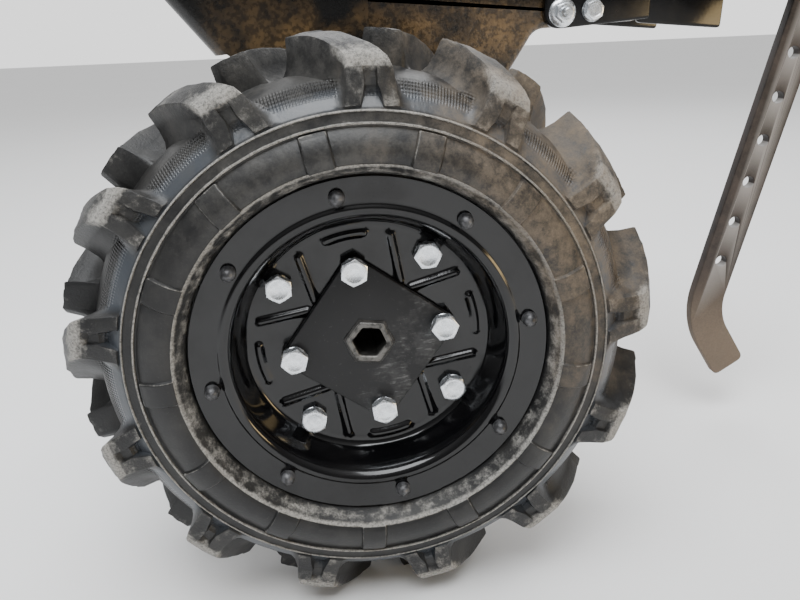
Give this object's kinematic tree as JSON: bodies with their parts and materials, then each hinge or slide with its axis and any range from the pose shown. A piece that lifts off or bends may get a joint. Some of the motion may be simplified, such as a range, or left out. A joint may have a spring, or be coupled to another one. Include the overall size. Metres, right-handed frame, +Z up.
{
  "type": "power tiller running gear",
  "caption": "Running gear of a walk-behind tiller: lugged tyres on bolted steel rims, a hexagonal axle in a cast gear case, and a drag stake that slides in a clamped sleeve.",
  "frame": {"origin": "on the ground, under the middle of the whole's bounding box", "axes": "+X to the rear of the machine, +Y to the far wheel, +Z up"},
  "size_m": [0.7016, 0.4708, 0.5433],
  "materials": {
    "tyre": "dusty moulded rubber",
    "tube": "smooth rubber",
    "gloss_black": "gloss black paint",
    "cast_black": "black paint on rough casting",
    "plate_black": "scuffed black paint",
    "stud_grey": "dull dark grey",
    "zinc": "bright zinc plate",
    "bare_steel": "worn bare steel",
    "gear_steel": "ground steel",
    "dusty_steel": "dusty worn steel, dried earth on the foot",
    "seal": "moulded rubber",
    "brass": "plain brass"
  },
  "bodies": {
    "chassis": {"gear_case_near": "cast_black", "gear_case_far": "cast_black", "axle_bearing_near": "gear_steel", "axle_bearing_far": "gear_steel", "axle_seal_near": "seal", "axle_seal_far": "seal", "idler_pin": "bare_steel", "input_bearing_near": "gear_steel", "input_bearing_far": "gear_steel", "input_seal": "seal", "front_guard": "gloss_black", "deck_plate": "gloss_black", "cheek_near": "gloss_black", "cheek_far": "gloss_black", "cheek_stud_near": "zinc", "cheek_bolt_near": "zinc", "frame_plate_near": "gloss_black", "frame_plate_far": "gloss_black", "drawbar": "gloss_black", "stake_sleeve": "gloss_black"},
    "wheelset": {"tyre_near": "tyre", "inner_tube_near": "tube", "valve_stem_near": "brass", "rim_dish_near": "gloss_black", "rim_drum_near": "gloss_black", "hub_plate_near": "plate_black", "hub_tube_near": "bare_steel", "drive_pin_near": "zinc", "tyre_far": "tyre", "inner_tube_far": "tube", "valve_stem_far": "brass", "rim_dish_far": "gloss_black", "rim_drum_far": "gloss_black", "hub_plate_far": "plate_black", "hub_tube_far": "bare_steel", "drive_pin_far": "zinc", "hub_bolt_near_1": "zinc", "hub_bolt_near_2": "zinc", "hub_bolt_near_3": "zinc", "hub_bolt_near_4": "zinc", "rim_bolt_near_1": "zinc", "rim_bolt_near_2": "zinc", "rim_bolt_near_3": "zinc", "rim_bolt_near_4": "zinc", "flange_stud_near_1": "stud_grey", "flange_stud_near_2": "stud_grey", "flange_stud_near_3": "stud_grey", "flange_stud_near_4": "stud_grey", "flange_stud_near_5": "stud_grey", "flange_stud_near_6": "stud_grey", "flange_stud_near_7": "stud_grey", "flange_stud_near_8": "stud_grey", "axle_shaft": "bare_steel", "axle_gear": "gear_steel"},
    "idler": {"idler_gear": "gear_steel"},
    "input": {"input_shaft": "bare_steel"},
    "stake": {"drag_stake": "dusty_steel", "stop_pin": "zinc"},
    "clamp": {"clamp_screw": "zinc"},
    "tommy": {"tommy_bar": "zinc"}
  },
  "joints": [
    {"name": "wheel_spin", "type": "hinge", "parent": "chassis", "child": "wheelset", "pos_m": [-0.15081, 0, 0.19992], "axis": [0, -1, 0], "continuous": true},
    {"name": "idler_spin", "type": "hinge", "parent": "chassis", "child": "idler", "pos_m": [-0.14203, 0, 0.28346], "axis": [0, -1, 0], "continuous": true},
    {"name": "input_spin", "type": "hinge", "parent": "chassis", "child": "input", "pos_m": [-0.14203, 0, 0.34346], "axis": [0, -1, 0], "continuous": true},
    {"name": "stake_slide", "type": "slide", "parent": "chassis", "child": "stake", "axis": [0.2334, 0, 0.9724], "range_m": [-0.031, 0.24]},
    {"name": "clamp_turn", "type": "hinge", "parent": "chassis", "child": "clamp", "pos_m": [0.28429, 0, 0.46159], "axis": [0.9724, 0, -0.2334], "range_deg": [0, 720]},
    {"name": "tommy_slide", "type": "slide", "parent": "clamp", "child": "tommy", "axis": [0, 1, 0], "range_m": [-0.023, 0.023]}
  ],
  "couplings": [
    {"joint": "idler_spin", "follows": "wheel_spin", "ratio": -1.1538},
    {"joint": "input_spin", "follows": "wheel_spin", "ratio": 2.1429}
  ]
}
